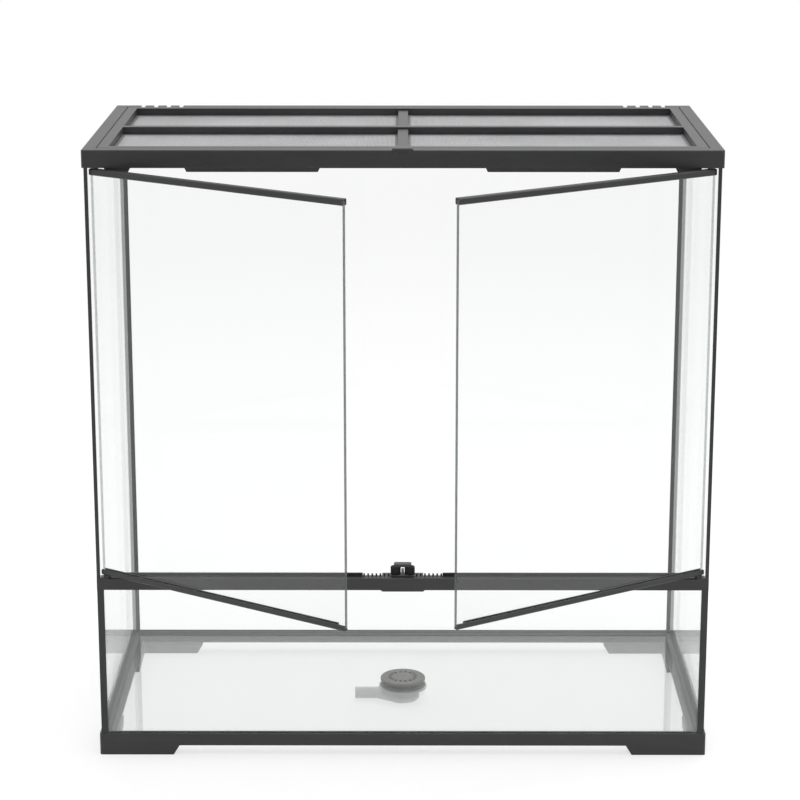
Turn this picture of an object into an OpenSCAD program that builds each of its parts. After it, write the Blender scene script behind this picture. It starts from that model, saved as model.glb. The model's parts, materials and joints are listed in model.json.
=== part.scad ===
// Front-opening glass terrarium cabinet with a lift-off screen lid, two hinged doors
// over a vent bar, and a screened floor drain.
// Millimetres. X runs to the right, Y to the back and Z up. The origin is on the floor
// under the middle of the cabinet. A depth named ..._in is measured inwards from the
// outer face of the frames.

/* [Cabinet] */
// Width across the outer faces of the frames
cabinet_w = 600; // [450:10:900]
// Depth across the outer faces of the frames
cabinet_d = 300; // [250:10:500]
// Height from the floor to the top rim
cabinet_h = 604; // [450:2:900]
// Radius of the frames' upright corners
corner_r = 2.5; // [1:0.5:4]
// Thickness of the frames' moulded walls
wall_t = 2; // [1.6:0.1:2.6]
// Bevel along the frames' outer edges
edge_bevel = 0.8; // [0.4:0.1:1.2]

/* [Glass] */
// Thickness of the fixed panes
pane_t = 3.5; // [3:0.5:5]
// Thickness of the door panes
door_pane_t = 3.5; // [3:0.25:4]
// Play between a pane and each wall of its groove
groove_fit = 0.1; // [0.05:0.05:0.25]
// Width of the sealed joint between two panes that meet
joint_gap = 1; // [0.5:0.25:1.5]
// Leg of the sealant bead in an inner corner
bead = 3; // [2:0.5:5]
// Thickness of the trim strip on the side panes' front edges
trim_t = 1.1; // [0.8:0.1:1.6]
// Width of the corner strip beside the lower front pane
corner_strip_w = 6.6; // [5.5:0.2:10]

/* [Bottom frame] */
// Height of the bottom frame's upper edge above the floor
base_h = 22.4; // [21:0.2:30]
// Height of the open gap under the frame between two feet
foot_h = 9.8; // [6:0.2:11]
// Length of a foot along each wall at the floor
foot_len = 73; // [40:1:100]
// Run of the sloped end of a foot
foot_slope = 6; // [2:0.5:12]
// Width of the bottom frame's rails in plan
rail_w = 15; // [12:0.5:22]
// Depth of the groove that the upright panes stand in
base_groove = 8.6; // [6:0.2:9]
// Thickness of the inner wall of each pane groove
web_t = 1.5; // [1.2:0.1:2.5]
// Height of the base pane's underside above the floor
base_pane_z = 16.5; // [14.5:0.1:17]

/* [Top frame] */
// Height of the top frame's outer face
rim_h = 17; // [16:0.5:24]
// Width of the flat rim
rim_w = 12.4; // [11:0.2:18]
// Width of the ledge that carries the lid
ledge_w = 10; // [8:0.5:16]
// Height of the lip that hangs from the ledge's inner edge
ledge_lip = 4.5; // [3:0.5:6]
// Length of upright pane that the top frame grips
pane_grip = 9; // [6:0.5:9.5]
// Width of each gap in the ledge's lip
lip_gap = 22; // [10:1:40]
// Distance of the side lips' gaps from the front face
lip_gap_in = 55; // [40:1:120]
// Width of the door stops that hang under the front rail
stop_w = 128; // [60:2:180]
// Distance of a door stop's middle from the cabinet's middle
stop_x = 141; // [110:1:160]
// Drop of the door stops below the front rail
stop_drop = 5; // [3:0.5:8]
// Thickness of the door stops
stop_t = 1.5; // [1.2:0.1:2.5]

/* [Cable notches] */
// Cable notches on each side of the back rim
notch_count = 4; // [1:1:5]
// Width of a cable notch
notch_w = 4.6; // [4.4:0.1:6]
// Depth of a cable notch
notch_h = 5.5; // [4.8:0.1:6]
// Spacing of the cable notches
notch_pitch = 13.2; // [10:0.2:18]
// Distance of the outermost notch from the cabinet's outer side
notch_in = 28.5; // [24:0.5:40]

/* [Lid latches] */
// Width of the latch pockets in the back rim
pocket_w = 14.4; // [8:0.2:24]
// Height of the latch pockets
pocket_h = 2.6; // [1.5:0.1:4]
// Depth of the latch pockets
pocket_depth = 2; // [1:0.25:3]
// Distance of the outer latch pockets from the middle
pocket_x = 198; // [120:1:205]
// Width of the clip on the front rim
clip_w = 20; // [12:1:40]
// Height of the clip above the rim
clip_h = 2.1; // [1.2:0.1:4]
// Depth of the clip's seat on the rim
clip_d = 9; // [5:0.5:10]
// Drop of the clip's tab over the front face
clip_tab = 4; // [2:0.5:8]

/* [Lid] */
// Height of the lid, which is the depth of its seat
lid_h = 9; // [7:0.5:10]
// Play between the lid's flange and the rim, on each side
lid_fit = 0.6; // [0.4:0.1:1.5]
// Thickness of the lid's flange
flange_t = 2; // [1.5:0.1:3]
// Overhang of the flange past the skirt
flange_over = 3.5; // [2:0.25:4.5]
// Width of the lid's rim
lid_rim_w = 10.5; // [9:0.5:14]
// Thickness of the lid's walls
lid_wall = 1.6; // [1.2:0.1:2]
// Width of the lid's two cross bars
lid_bar_w = 10; // [6:0.5:16]
// Step of the front-to-back bar below the lid's top
lid_bar_step = 2; // [1:0.25:3]
// Gap between the screen and the lid's seat
screen_lift = 0.6; // [0.3:0.1:1]
// Thickness of the screen
screen_t = 0.8; // [0.4:0.1:1.2]
// Width of a screen wire
screen_wire = 1; // [0.6:0.1:2]
// Screen gaps along the width of one of the four fields
screen_nx = 12; // [4:1:12]
// Screen gaps along the depth of one of the four fields
screen_ny = 6; // [2:1:6]
// Width of a latch tongue in the lid's front skirt
tongue_w = 14.5; // [8:0.5:24]
// Width of the slits beside a tongue
tongue_slit = 0.8; // [0.5:0.1:1.5]
// Height of the slits beside a tongue
tongue_h = 5.5; // [3:0.5:6]
// Distance of the inner tongues from the middle
tongue_x1 = 49; // [35:1:80]
// Distance of the outer tongues from the middle
tongue_x2 = 231; // [150:1:235]

/* [Doors] */
// Angle of the left door from closed
door_open_left = 34; // [5:1:80]
// Angle of the right door from closed
door_open_right = 33; // [5:1:80]
// Distance of the hinge axes from the cabinet's outer sides
hinge_in = 12; // [11.5:0.5:20]
// Distance of the hinge axes behind the front face
hinge_y_in = 4; // [3.8:0.1:4.3]
// Length of door beyond its hinge axis
door_end = 4; // [3:0.5:4.5]
// Gap between the two closed doors
door_gap = 4; // [2:0.5:8]
// Gap between the top frame and the doors
door_top_gap = 1.2; // [0.8:0.1:2.5]
// Gap between the vent bar and the doors
door_bottom_gap = 2.9; // [1.5:0.1:4]
// Depth of the door rails front to back
door_rail_d = 7; // [6.5:0.1:7.5]
// Height of the doors' top rails
door_top_rail_h = 6; // [4:0.5:10]
// Height of the doors' bottom rails
door_bottom_rail_h = 5; // [4:0.5:10]
// Floor of the groove in the door rails
door_rail_floor = 1.5; // [1:0.1:2.5]

/* [Hinges] */
// Diameter of the hinge pins
pin_d = 3; // [2:0.25:3.5]
// Length of a hinge pin in its bush
pin_len = 5; // [3:0.5:6]
// Length of a hinge pin in its door rail
pin_grip = 3.4; // [2:0.2:3.6]
// Radial running clearance of the hinge pins and rollers
run_fit = 0.05; // [0.03:0.01:0.09]
// Outer diameter of the hinge bushes
bush_d = 6; // [5:0.25:6.5]
// Gap between a bush's collar and the door
bush_gap = 0.2; // [0.15:0.05:0.3]
// Length of the door stop beside each hinge
bracket_w = 26; // [12:1:34]

/* [Vent bar] */
// Height of the vent bar's ledge above the floor
bar_z = 184.3; // [120:0.1:260]
// Height of the vent bar's face
bar_h = 12.1; // [11:0.1:20]
// Depth of the vent bar
bar_d = 9.7; // [9.2:0.1:14]
// Height of the lip behind the doors
bar_lip_h = 2.8; // [1:0.1:2.8]
// Thickness of the lip behind the doors
bar_lip_t = 1.4; // [1:0.1:1.4]
// Distance of the lip's outer end from the cabinet's outer side
bar_lip_in = 30; // [24:1:60]
// Distance of the lip's inner end from the middle
bar_lip_x = 39; // [30:1:80]
// Spacing of the teeth between the lip and the catch
tooth_pitch = 4; // [3:0.2:6]
// Width of a tooth
tooth_w = 1.7; // [1:0.1:2.4]
// Height of the teeth
tooth_h = 2; // [1:0.1:2.8]
// Width of the deeper middle of the bar
pad_w = 40; // [32:1:70]
// Drop of the bar's middle below its lower edge
pad_drop = 1.5; // [0.5:0.25:4]

/* [Catch] */
// Diameter of the catch's rollers
roller_d = 10; // [8:0.5:11]
// Height of the rollers
roller_h = 7.6; // [5:0.2:10]
// Gap between the two rollers
roller_gap = 3.7; // [3:0.1:6]
// Grip notches round a roller
roller_notches = 12; // [8:1:14]
// Diameter of the grip notches
notch_d = 1.4; // [0.8:0.1:1.6]
// Diameter of the rollers' pins
roller_pin_d = 2.4; // [1.6:0.2:3]
// Gap between a closed door's pane and the rollers
catch_gap = 0.5; // [0.4:0.1:1.5]
// Thickness of the catch's base plate
catch_base_t = 0.8; // [0.6:0.1:1.5]
// Width of the catch's centre post
post_w = 2.8; // [1.5:0.1:2.8]
// Height of the catch's centre post
post_h = 4.6; // [2:0.2:6]
// Width of the catch's top plate
plate_w = 17; // [14:0.5:22]
// Thickness of the catch's top plate
plate_t = 2.8; // [1.5:0.1:4]
// Play above and below the rollers
roller_play = 0.3; // [0.2:0.05:0.5]

/* [Drain] */
// Diameter of the hole in the base pane
drain_hole_d = 31; // [30:0.5:34]
// Diameter of the strainer's flange
strainer_d = 46.6; // [44:0.2:56]
// Thickness of the strainer's flange
strainer_t = 2.6; // [1.6:0.1:4]
// Outer diameter of the strainer's body under the flange
body_d = 29; // [26:0.5:29.4]
// Outer diameter of the strainer's body at its lower end
body_end_d = 25; // [20:0.5:26]
// Length of the strainer's body below the flange
body_len = 18; // [12:0.5:18.5]
// Wall of the strainer's body
body_wall = 1.8; // [1.2:0.1:2.5]
// Slots round the strainer
slot_count = 16; // [8:2:18]
// Width of a strainer slot
slot_w = 3.2; // [1.5:0.1:3.4]
// Height of the slots in the strainer's body
slot_drop = 3.4; // [2:0.2:6]
// Outer diameter of the sealing ring
ring_d = 41; // [38:0.2:41]
// Thickness of the sealing ring
ring_t = 2.2; // [1.6:0.1:2.6]
// Play above and below the sealing ring
ring_play = 0.15; // [0.1:0.05:0.25]
// Diameter of the drain cup's flange
cup_flange_d = 50; // [46:0.5:60]
// Outer diameter of the drain cup
cup_d = 34; // [33.5:0.5:40]
// Wall of the drain cup
cup_wall = 1.8; // [1.4:0.1:1.8]
// Gap between the drain cup and the floor
cup_clear = 0.8; // [0.5:0.1:1]
// Thickness of the gasket under the base pane
gasket_t = 0.8; // [0.5:0.1:1.2]
// Outer diameter of the drain's spout
spout_d = 12; // [9:0.5:12]
// Wall of the drain's spout
spout_wall = 1.6; // [1:0.1:2]
// Distance of the spout's end from the drain's axis
spout_reach = 50; // [36:1:90]
// Distance from the drain's axis at which the spout's flared root begins
spout_root = 26; // [25.5:0.5:32]

/* [Hidden] */
$fn = 64;
part_gap = 0.02;        // press seat of a pin or bush, on its radius
bead_t = 1.5;           // height of the bead round the base pane
lug_w = 4;              // width of the strainer's lugs
lug_turn = 25;          // strainer lugs: angle from the X axis
far = cabinet_w;        // longer than any cut has to be

frame_colour = "#3b3d40";
glass_colour = [0.82, 0.93, 0.92, 0.25];
seal_colour = "#232426";
screen_colour = "#8f9295";
steel_colour = "#b9bcc0";
cup_colour = [0.78, 0.80, 0.80, 0.6];

// plan positions, from the outer faces inwards
half_w = cabinet_w / 2;
half_d = cabinet_d / 2;
pane_in = wall_t + groove_fit;                  // outer face of the upright panes
pane_back_in = pane_in + pane_t;                // their inner face
web_in = pane_back_in + groove_fit;             // groove's inner wall
web_end_in = web_in + web_t;
side_x = half_w - pane_back_in;                 // inner faces of the side panes
pane_edge_x = side_x - joint_gap;               // edges of the back and front panes

// heights
groove_z = base_h - base_groove;
top_z = cabinet_h - rim_h;
pane_top_z = top_z + pane_grip;
ledge_z = cabinet_h - lid_h;
base_top_z = base_pane_z + pane_t;
bar_low_z = bar_z - bar_h;
bar_groove_z = bar_low_z + bar_h / 3;
door_low_z = bar_z + door_bottom_gap;
door_top_z = top_z - door_top_gap;

// lid
lid_w = cabinet_w - 2 * (rim_w + lid_fit);
lid_d = cabinet_d - 2 * (rim_w + lid_fit);
screen_z = ledge_z + screen_lift;
screen_top_z = screen_z + screen_t;
field_w = (lid_w - 2 * lid_rim_w - lid_bar_w) / 2;
field_d = (lid_d - 2 * lid_rim_w - lid_bar_w) / 2;

// doors, hinges and catch
hinge_x = half_w - hinge_in;
hinge_y = -half_d + hinge_y_in;
door_len = hinge_x - door_gap / 2;              // hinge axis to free edge
stop_in = hinge_y_in + door_rail_d / 2 + 0.7;   // front faces of the door stops
roller_x = (roller_gap + roller_d) / 2;
catch_in = hinge_y_in + door_pane_t / 2 + catch_gap + roller_d / 2;
catch_y = -half_d + catch_in;
pad_in = catch_in + roller_d / 2 + 1;
roller_z = bar_z + catch_base_t + roller_play;
plate_z = roller_z + roller_h + roller_play;

// drain
ring_z = base_top_z + ring_play;
flange_z = ring_z + ring_t + ring_play;
cup_top_z = base_pane_z - gasket_t;
cup_flange_t = 1.6;
cup_floor_z = cup_clear + cup_wall;
cup_chamfer = 2;
bore_low = 0.1;          // from the cup's floor up to the spout's bore
spout_z = cup_floor_z + bore_low - spout_wall + spout_d / 2;
port_side = 0.8;         // margin of the cup's port round the spout's bore
root_in = 0.1;           // root's edge inside the cup's outline, before it is cut
root_step = 0.2;         // step from the spout up to its flared root
root_top_z = spout_z + spout_d / 2 + root_step;
root_trim = 0.6;         // share of the cup's radius at which the root's sides end

// ---------------------------------------------------------------- shared shapes

// Rectangle about the origin with true round corners.
module rounded_rect(w, d, r) {
    square([w - 2 * r, d], center = true);
    square([w, d - 2 * r], center = true);
    for (x = [-1, 1], y = [-1, 1])
        translate([x * (w / 2 - r), y * (d / 2 - r)])
            circle(r);
}

// Extrudes a [y, z] section along X, centred.
module along_x(length) {
    rotate([90, 0, 90])
        linear_extrude(length, center = true)
            children();
}

// Sweeps a section round a w by d rectangle with mitred corners. The section's points
// are [distance inwards from the outer face, height].
module frame_sweep(w, d, section) {
    reach = max([for (p = section) p[0]]) + 1;
    top = max([for (p = section) p[1]]) + 1;
    for (side = [[w, d, 0], [d, w, 90], [w, d, 180], [d, w, 270]])
        rotate([0, 0, side[2]])
            translate([0, -side[1] / 2, 0])
                intersection() {
                    along_x(side[0])
                        polygon(section);
                    linear_extrude(top)
                        polygon([
                            [-side[0] / 2, 0], [side[0] / 2, 0],
                            [side[0] / 2 - reach, reach], [-side[0] / 2 + reach, reach]
                        ]);
                }
}

// Box from its lower to its upper corner.
module span(low, high) {
    translate(low)
        cube(high - low);
}

// Copies the child to both sides of the cabinet's middle.
module both_sides() {
    children();
    mirror([1, 0, 0])
        children();
}

// Places the child, drawn on the right, on the left instead.
module on_left() {
    mirror([1, 0, 0])
        children();
}

// ---------------------------------------------------------------- bottom frame

function base_section() = [
    [0, foot_h], [0, base_h - edge_bevel], [edge_bevel, base_h], [wall_t, base_h],
    [wall_t, groove_z], [web_in, groove_z], [web_in, base_h], [web_end_in, base_h],
    [web_end_in, base_pane_z], [rail_w, base_pane_z], [rail_w, base_pane_z - wall_t],
    [web_end_in, base_pane_z - wall_t], [web_end_in, foot_h]
];

// One leg of a corner foot, along X from the outer face, with its end sloped.
module foot_leg() {
    rotate([90, 0, 0])
        translate([0, 0, -rail_w])
            linear_extrude(rail_w)
                polygon([[0, 0], [foot_len, 0], [foot_len + foot_slope, foot_h], [0, foot_h]]);
}

module corner_foot() {
    foot_leg();
    mirror([1, -1, 0])
        foot_leg();
}

module bottom_frame() {
    color(frame_colour)
        intersection() {
            union() {
                frame_sweep(cabinet_w, cabinet_d, base_section());
                for (x = [0, 1], y = [0, 1])
                    mirror([x, 0, 0])
                        mirror([0, y, 0])
                            translate([-half_w, -half_d, 0])
                                corner_foot();
            }
            linear_extrude(base_h)
                rounded_rect(cabinet_w, cabinet_d, corner_r);
        }
}

// ---------------------------------------------------------------- panes and seals

module base_glass() {
    in = web_end_in + groove_fit;
    color(glass_colour)
        translate([0, 0, base_pane_z])
            difference() {
                linear_extrude(pane_t)
                    square([cabinet_w - 2 * in, cabinet_d - 2 * in], center = true);
                translate([0, 0, -1])
                    cylinder(d = drain_hole_d, h = pane_t + 2);
            }
}

// Bead of sealant round the base pane.
module base_seal() {
    color(seal_colour)
        frame_sweep(cabinet_w, cabinet_d, [
            [web_end_in, base_top_z], [web_end_in + bead, base_top_z],
            [web_end_in, base_top_z + bead_t]
        ]);
}

module back_glass() {
    color(glass_colour)
        span([-pane_edge_x, half_d - pane_back_in, groove_z],
             [pane_edge_x, half_d - pane_in, pane_top_z]);
}

module side_pane() {
    span([side_x, -half_d + pane_in, groove_z],
         [half_w - pane_in, half_d - pane_in, pane_top_z]);
}

module side_glass_left() {
    color(glass_colour)
        on_left()
            side_pane();
}

module side_glass_right() {
    color(glass_colour)
        side_pane();
}

module front_glass() {
    color(glass_colour)
        span([-pane_edge_x, -half_d + pane_in, groove_z],
             [pane_edge_x, -half_d + pane_back_in, bar_groove_z - groove_fit]);
}

// Sealed joint between the back pane and a side pane, with its inner bead.
module back_seal() {
    translate([0, 0, base_h])
        linear_extrude(top_z - base_h)
            polygon([
                [pane_edge_x, half_d - pane_in], [side_x, half_d - pane_in],
                [side_x, half_d - pane_back_in - bead],
                [pane_edge_x - bead, half_d - pane_back_in],
                [pane_edge_x, half_d - pane_back_in]
            ]);
}

module back_seal_left() {
    color(seal_colour)
        on_left()
            back_seal();
}

module back_seal_right() {
    color(seal_colour)
        back_seal();
}

// Corner strip over the edges of the lower front pane and a side pane.
module front_seal() {
    strip_x = half_w - pane_in;
    inner_bead = bead / 2;
    translate([0, -half_d, base_h])
        linear_extrude(bar_low_z - base_h)
            polygon([
                [strip_x - corner_strip_w, pane_in - trim_t], [strip_x, pane_in - trim_t],
                [strip_x, pane_in], [side_x, pane_in], [side_x, pane_back_in + inner_bead],
                [pane_edge_x - inner_bead, pane_back_in], [pane_edge_x, pane_back_in],
                [pane_edge_x, pane_in], [strip_x - corner_strip_w, pane_in]
            ]);
}

module front_seal_left() {
    color(seal_colour)
        on_left()
            front_seal();
}

module front_seal_right() {
    color(seal_colour)
        front_seal();
}

// Strip on a side pane's front edge beside the doors.
module edge_trim() {
    span([side_x, -half_d + pane_in - trim_t, bar_z],
         [half_w - pane_in, -half_d + pane_in, top_z]);
}

module edge_trim_left() {
    color(seal_colour)
        on_left()
            edge_trim();
}

module edge_trim_right() {
    color(seal_colour)
        edge_trim();
}

// ---------------------------------------------------------------- top frame

function top_section() = [
    [0, top_z], [0, cabinet_h - edge_bevel], [edge_bevel, cabinet_h],
    [rim_w - edge_bevel, cabinet_h], [rim_w, cabinet_h - edge_bevel], [rim_w, ledge_z],
    [rim_w + ledge_w, ledge_z], [rim_w + ledge_w, ledge_z - ledge_lip],
    [rim_w + ledge_w - wall_t, ledge_z - ledge_lip],
    [rim_w + ledge_w - wall_t, ledge_z - wall_t], [rim_w - wall_t, ledge_z - wall_t],
    [rim_w - wall_t, pane_top_z], [web_end_in, pane_top_z], [web_end_in, top_z],
    [web_in, top_z], [web_in, pane_top_z], [wall_t, pane_top_z], [wall_t, top_z]
];

// Wall that hangs under the front rail behind the closed doors, with sloped ends.
module door_stop(length) {
    translate([0, -half_d + stop_in + stop_t, top_z - stop_drop])
        rotate([90, 0, 0])
            linear_extrude(stop_t)
                polygon([
                    [-length / 2 + stop_drop / 2, 0], [length / 2 - stop_drop / 2, 0],
                    [length / 2, stop_drop], [-length / 2, stop_drop]
                ]);
}

// Cable notch through the back rim, open at the top and round at the bottom.
module cable_notch() {
    rotate([90, 0, 0])
        linear_extrude(2 * rim_w, center = true) {
            translate([-notch_w / 2, -notch_h + notch_w / 2])
                square([notch_w, notch_h]);
            translate([0, -notch_h + notch_w / 2])
                circle(d = notch_w);
        }
}

// Pocket in the back rim's inner face for a lid latch.
module latch_pocket() {
    translate([-pocket_w / 2, -1, 0])
        cube([pocket_w, pocket_depth + 1, pocket_h]);
}

module top_frame() {
    boss_x = hinge_x - bush_d / 2 - wall_t;
    boss_end_x = half_w - web_end_in;
    stop_end_x = hinge_x - door_end - door_rail_d / 2;
    pocket_z = ledge_z + (lid_h - pocket_h) / 2;
    lip_z = ledge_z - ledge_lip;
    color(frame_colour)
        difference() {
            intersection() {
                union() {
                    frame_sweep(cabinet_w, cabinet_d, top_section());
                    // closed underside of the front rail
                    span([-boss_end_x, -half_d + wall_t / 2, top_z],
                         [boss_end_x, -half_d + rim_w, top_z + wall_t]);
                    both_sides() {
                        // blocks that hold the upper hinge bushes
                        span([boss_x, -half_d + wall_t / 2, top_z],
                             [boss_end_x, -half_d + rim_w - wall_t / 2, pane_top_z + 1]);
                        translate([stop_x, 0, 0])
                            door_stop(stop_w);
                        translate([stop_end_x - bracket_w / 2, 0, 0])
                            door_stop(bracket_w);
                    }
                }
                linear_extrude(cabinet_h)
                    rounded_rect(cabinet_w, cabinet_d, corner_r);
            }
            both_sides() {
                for (i = [0 : notch_count - 1])
                    translate([half_w - notch_in - i * notch_pitch, half_d - rim_w / 2, cabinet_h])
                        cable_notch();
                translate([pocket_x, half_d - rim_w, pocket_z])
                    latch_pocket();
                // gaps in the lip of the side ledges
                span([half_w - rim_w - ledge_w - 1, -half_d + lip_gap_in - lip_gap / 4, lip_z - 1],
                     [half_w - rim_w - ledge_w + wall_t, -half_d + lip_gap_in + lip_gap / 4,
                      ledge_z - wall_t]);
                // seat of the upper hinge bush
                translate([hinge_x, hinge_y, top_z - 1])
                    cylinder(d = bush_d + 2 * part_gap, h = pin_len + wall_t / 2 + 1);
            }
            translate([0, half_d - rim_w, pocket_z])
                latch_pocket();
            // gaps in the lip of the back ledge
            for (x = [-pocket_x, 0, pocket_x])
                span([x - lip_gap / 2, half_d - rim_w - ledge_w - 1, lip_z - 1],
                     [x + lip_gap / 2, half_d - rim_w - ledge_w + wall_t, ledge_z - wall_t]);
        }
}

// Clip over the middle of the front rim.
module rim_clip() {
    tab_w = clip_w * 0.6;
    color(frame_colour)
        translate([0, -half_d, cabinet_h]) {
            difference() {
                along_x(clip_w)
                    polygon([
                        [-0.6, -edge_bevel], [0, -edge_bevel], [edge_bevel, 0], [clip_d, 0],
                        [clip_d - clip_h / 2, clip_h], [0.6, clip_h], [-0.6, clip_h - 1.2]
                    ]);
                // raked end
                translate([clip_w / 2, 0, 0])
                    rotate([0, -35, 0])
                        span([0, -far, -far], [far, far, far]);
            }
            // tab on the front face
            rotate([90, 0, 0])
                linear_extrude(0.6)
                    polygon([
                        [-tab_w / 2, -edge_bevel], [tab_w / 2, -edge_bevel],
                        [tab_w / 2 - clip_tab / 2, -edge_bevel - clip_tab],
                        [-tab_w / 2 + clip_tab / 2, -edge_bevel - clip_tab]
                    ]);
        }
}

// ---------------------------------------------------------------- vent bar and catch

module vent_bar() {
    end_x = side_x - groove_fit;
    face_x = half_w - pane_in;
    lip_end_x = half_w - bar_lip_in;
    tooth_x = roller_x + roller_d / 2 + 1;
    color(frame_colour)
        difference() {
            union() {
                translate([0, -half_d, 0])
                    along_x(2 * end_x)
                        polygon([
                            [0, bar_low_z], [0, bar_z - edge_bevel], [edge_bevel, bar_z],
                            [bar_d, bar_z], [bar_d, bar_low_z], [web_in, bar_low_z],
                            [web_in, bar_groove_z], [wall_t, bar_groove_z],
                            [wall_t, bar_low_z]
                        ]);
                // face that runs over the side panes' edges
                translate([0, -half_d, 0])
                    along_x(2 * face_x)
                        polygon([
                            [0, bar_low_z], [0, bar_z - edge_bevel], [edge_bevel, bar_z],
                            [wall_t, bar_z], [wall_t, bar_low_z]
                        ]);
                // deeper middle
                translate([0, -half_d + web_in, 0])
                    rotate([90, 0, 0])
                        linear_extrude(web_in)
                            polygon([
                                [-pad_w / 2, bar_low_z - pad_drop],
                                [pad_w / 2, bar_low_z - pad_drop],
                                [pad_w / 2 + pad_drop, bar_low_z],
                                [pad_w / 2 + pad_drop, bar_low_z + 0.5],
                                [-pad_w / 2 - pad_drop, bar_low_z + 0.5],
                                [-pad_w / 2 - pad_drop, bar_low_z]
                            ]);
                span([-pad_w / 2, -half_d + bar_d - 0.5, bar_groove_z],
                     [pad_w / 2, -half_d + pad_in, bar_z]);
                both_sides() {
                    // lip behind the doors, and the teeth beside the catch
                    span([bar_lip_x, -half_d + bar_d - bar_lip_t, bar_z - 1],
                         [lip_end_x, -half_d + bar_d, bar_z + bar_lip_h]);
                    for (x = [tooth_x : tooth_pitch : bar_lip_x - tooth_w])
                        span([x, -half_d + bar_d - bar_lip_t, bar_z - 1],
                             [x + tooth_w, -half_d + bar_d, bar_z + tooth_h]);
                }
            }
            // groove for the front pane, through the deeper middle
            span([-pad_w, -half_d + wall_t, bar_low_z - pad_drop - 1],
                 [pad_w, -half_d + web_in, bar_groove_z]);
            both_sides() {
                // seats of the lower hinge bush and of a roller pin
                translate([hinge_x, hinge_y, bar_z - pin_len - wall_t / 2])
                    cylinder(d = bush_d + 2 * part_gap, h = pin_len + wall_t);
                translate([roller_x, catch_y, bar_z - pin_len])
                    cylinder(d = roller_pin_d + 2 * part_gap, h = pin_len + 1);
            }
        }
}

module catch_base() {
    base_w = 2 * roller_x + roller_d;
    color(frame_colour)
        difference() {
            union() {
                translate([0, catch_y, bar_z])
                    linear_extrude(catch_base_t)
                        rounded_rect(base_w, roller_d, roller_d / 4);
                translate([-post_w / 2, catch_y - roller_d * 0.4, bar_z])
                    cube([post_w, roller_d * 0.8, post_h + catch_base_t]);
            }
            for (x = [-roller_x, roller_x])
                translate([x, catch_y, bar_z - 1])
                    cylinder(d = roller_pin_d + 2 * part_gap, h = catch_base_t + 2);
        }
}

module catch_pins() {
    color(steel_colour)
        for (x = [-roller_x, roller_x])
            translate([x, catch_y, bar_z - pin_len])
                cylinder(d = roller_pin_d, h = plate_z + plate_t / 2 - bar_z + pin_len);
}

// Plate that ties the tops of the two pins together.
module catch_plate() {
    color(frame_colour)
        difference() {
            translate([0, catch_y, plate_z])
                linear_extrude(plate_t)
                    rounded_rect(plate_w, roller_d * 0.8, roller_d / 5);
            for (x = [-roller_x, roller_x])
                translate([x, catch_y, plate_z - 1])
                    cylinder(d = roller_pin_d + 2 * part_gap, h = 1 + plate_t / 2);
        }
}

// Roller with grip notches, on the right-hand pin.
module catch_roller() {
    translate([roller_x, catch_y, roller_z])
        difference() {
            rotate_extrude()
                polygon([
                    [roller_pin_d / 2 + run_fit, 0], [roller_d / 2 - 0.5, 0],
                    [roller_d / 2, 0.5], [roller_d / 2, roller_h - 0.5],
                    [roller_d / 2 - 0.5, roller_h], [roller_pin_d / 2 + run_fit, roller_h]
                ]);
            for (i = [0 : roller_notches - 1])
                rotate([0, 0, i * 360 / roller_notches])
                    translate([roller_d / 2 + notch_d / 5, 0, -1])
                        cylinder(d = notch_d, h = roller_h + 2);
        }
}

module catch_roller_left() {
    color(seal_colour)
        on_left()
            catch_roller();
}

module catch_roller_right() {
    color(seal_colour)
        catch_roller();
}

// ---------------------------------------------------------------- hinges and doors

// Bush with its collar up, its bore's mouth at the origin.
module hinge_bush(collar) {
    difference() {
        union() {
            translate([0, 0, -pin_len - wall_t / 2])
                cylinder(d = bush_d, h = pin_len + wall_t / 2);
            cylinder(d = bush_d + 1, h = collar);
        }
        translate([0, 0, -pin_len])
            cylinder(d = pin_d + 2 * run_fit, h = pin_len + collar + 1);
    }
}

module upper_hinge_bushes() {
    color(seal_colour)
        both_sides()
            translate([hinge_x, hinge_y, top_z])
                mirror([0, 0, 1])
                    hinge_bush(door_top_gap - bush_gap);
}

module lower_hinge_bushes() {
    color(seal_colour)
        both_sides()
            translate([hinge_x, hinge_y, bar_z])
                hinge_bush(door_bottom_gap - bush_gap);
}

// Turns a door, drawn closed from its hinge axis along +X, to its angle on the left.
module left_door_place() {
    translate([-hinge_x, hinge_y, 0])
        rotate([0, 0, -door_open_left])
            children();
}

module right_door_place() {
    mirror([1, 0, 0])
        translate([-hinge_x, hinge_y, 0])
            rotate([0, 0, -door_open_right])
                children();
}

module door_pane() {
    span([-door_end, -door_pane_t / 2, door_low_z + door_rail_floor],
         [door_len, door_pane_t / 2, door_top_z - door_rail_floor]);
}

// Channel rail on its back, h high, with the pane's groove open upwards.
module door_rail(h) {
    d = door_rail_d / 2;
    g = door_pane_t / 2;
    translate([(door_len - door_end) / 2, 0, 0])
        along_x(door_len + door_end)
            polygon([
                [-d, edge_bevel], [edge_bevel - d, 0], [d - edge_bevel, 0], [d, edge_bevel],
                [d, h - edge_bevel], [d - edge_bevel, h], [g, h], [g, door_rail_floor],
                [-g, door_rail_floor], [-g, h], [edge_bevel - d, h], [-d, h - edge_bevel]
            ]);
}

module door_top_rail() {
    difference() {
        translate([0, 0, door_top_z])
            mirror([0, 0, 1])
                door_rail(door_top_rail_h);
        door_pin_seats();
    }
}

module door_bottom_rail() {
    relief_x = door_len - (roller_x + roller_d / 2 + 1) + door_gap / 2;
    difference() {
        translate([0, 0, door_low_z])
            door_rail(door_bottom_rail_h);
        door_pin_seats();
        // relief for the catch at the free end
        span([relief_x, door_pane_t / 2, door_low_z - 1],
             [far, door_rail_d, door_low_z + door_bottom_rail_h + 1]);
    }
}

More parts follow.
